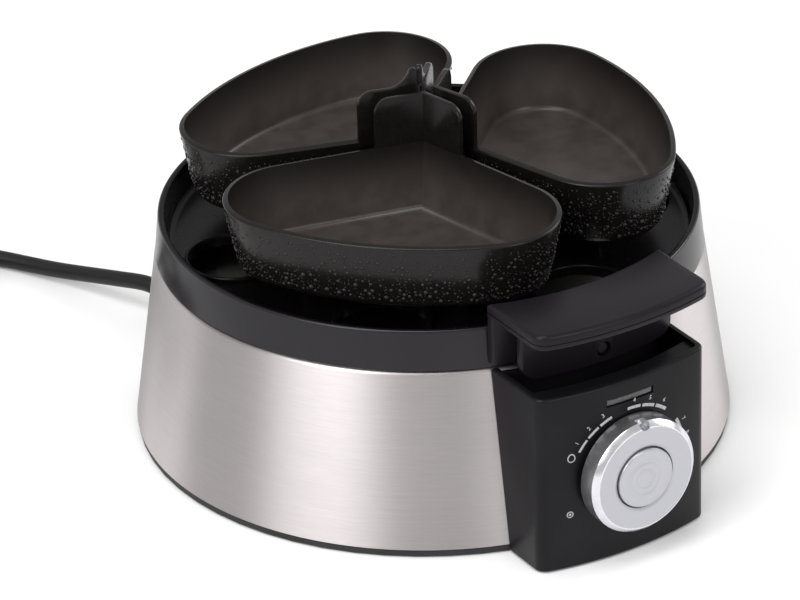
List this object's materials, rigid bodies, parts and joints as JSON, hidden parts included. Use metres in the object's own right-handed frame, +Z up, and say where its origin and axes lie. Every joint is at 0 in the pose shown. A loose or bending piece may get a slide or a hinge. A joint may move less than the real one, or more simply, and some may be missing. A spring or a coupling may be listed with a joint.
{
  "type": "egg cooker",
  "caption": "Electric egg cooker: brushed steel body with a front control box and dial, black steam tray with a handle, and a lift-out poacher of three cups.",
  "frame": {"origin": "on the table under the middle of the cooker's footprint, cord left out; the round body's own axis stands 12.2 mm towards +Y from it", "axes": "+Z up, -Y out of the control box's front, towards the person who uses it, +X to that person's right"},
  "size_m": [0.2612, 0.3326, 0.1198],
  "materials": {
    "brushed_sleeve": "brushed round the body, bright rolled edge",
    "dark_plastic": "fine moulded matt",
    "satin_black": "satin moulded plastic",
    "gloss_black": "polished moulded plastic, wet inside",
    "cup_black": "non-stick coated, steamed up outside",
    "satin_silver": "satin face, polished bevel",
    "dish_steel": "pressed stainless steel",
    "element_sheath": "heat-dulled sheath",
    "zinc_steel": "zinc plated",
    "ceramic": "unglazed white",
    "circuit_board": "green solder mask",
    "smoked_lens": "smoked translucent plastic",
    "rubber": "soft matt",
    "cord_rubber": "smooth soft plastic sheath",
    "plug_brass": "nickel-dulled brass"
  },
  "bodies": {
    "base": {"base_plate": "dark_plastic", "foot_1": "rubber", "foot_2": "rubber", "foot_3": "rubber", "foot_4": "rubber", "base_screw_1": "zinc_steel", "base_screw_2": "zinc_steel", "base_screw_3": "zinc_steel", "base_screw_4": "zinc_steel", "steel_sleeve": "brushed_sleeve", "upper_deck": "dark_plastic", "water_dish": "dish_steel", "heating_element": "element_sheath", "element_bracket": "zinc_steel", "thermostat": "ceramic", "thermal_fuse": "ceramic", "control_box": "satin_black", "indicator_lens": "smoked_lens", "indicator_led": "smoked_lens", "control_board": "circuit_board", "rotary_encoder": "zinc_steel", "start_switch": "ceramic", "buzzer": "gloss_black", "relay": "gloss_black", "power_board": "circuit_board", "terminal_block": "ceramic", "capacitor": "gloss_black", "cord_clamp": "dark_plastic", "strain_relief": "cord_rubber", "cord_run": "cord_rubber", "cord_coil": "cord_rubber", "cord_tail": "cord_rubber", "cord_tie": "dark_plastic", "plug_body": "cord_rubber", "plug_pin_left": "plug_brass", "plug_pin_right": "plug_brass"},
    "tray": {"steam_tray": "gloss_black", "tray_handle": "satin_black", "handle_screw": "zinc_steel"},
    "poacher": {"cup_front": "cup_black", "cup_right": "cup_black", "cup_rear": "cup_black", "poacher_hub": "cup_black"},
    "dial": {"knob": "satin_silver", "knob_shaft": "plug_brass", "button_spring": "zinc_steel"},
    "button": {"start_button": "satin_silver"}
  },
  "joints": [
    {"name": "tray_lift", "type": "slide", "parent": "base", "child": "tray", "axis": [0, 0, 1], "range_m": [0, 0.12]},
    {"name": "poacher_lift", "type": "slide", "parent": "tray", "child": "poacher", "axis": [0, 0, 1], "range_m": [0, 0.1]},
    {"name": "knob_turn", "type": "hinge", "parent": "base", "child": "dial", "pos_m": [0, -0.1035, 0.03], "axis": [0, 1, 0], "range_deg": [-117, 103]},
    {"name": "button_press", "type": "slide", "parent": "dial", "child": "button", "axis": [0, 1, 0], "range_m": [0, 0.0015], "stiffness_N_per_m": 600, "springref_m": -0.001, "deforming": ["button_spring"]}
  ]
}
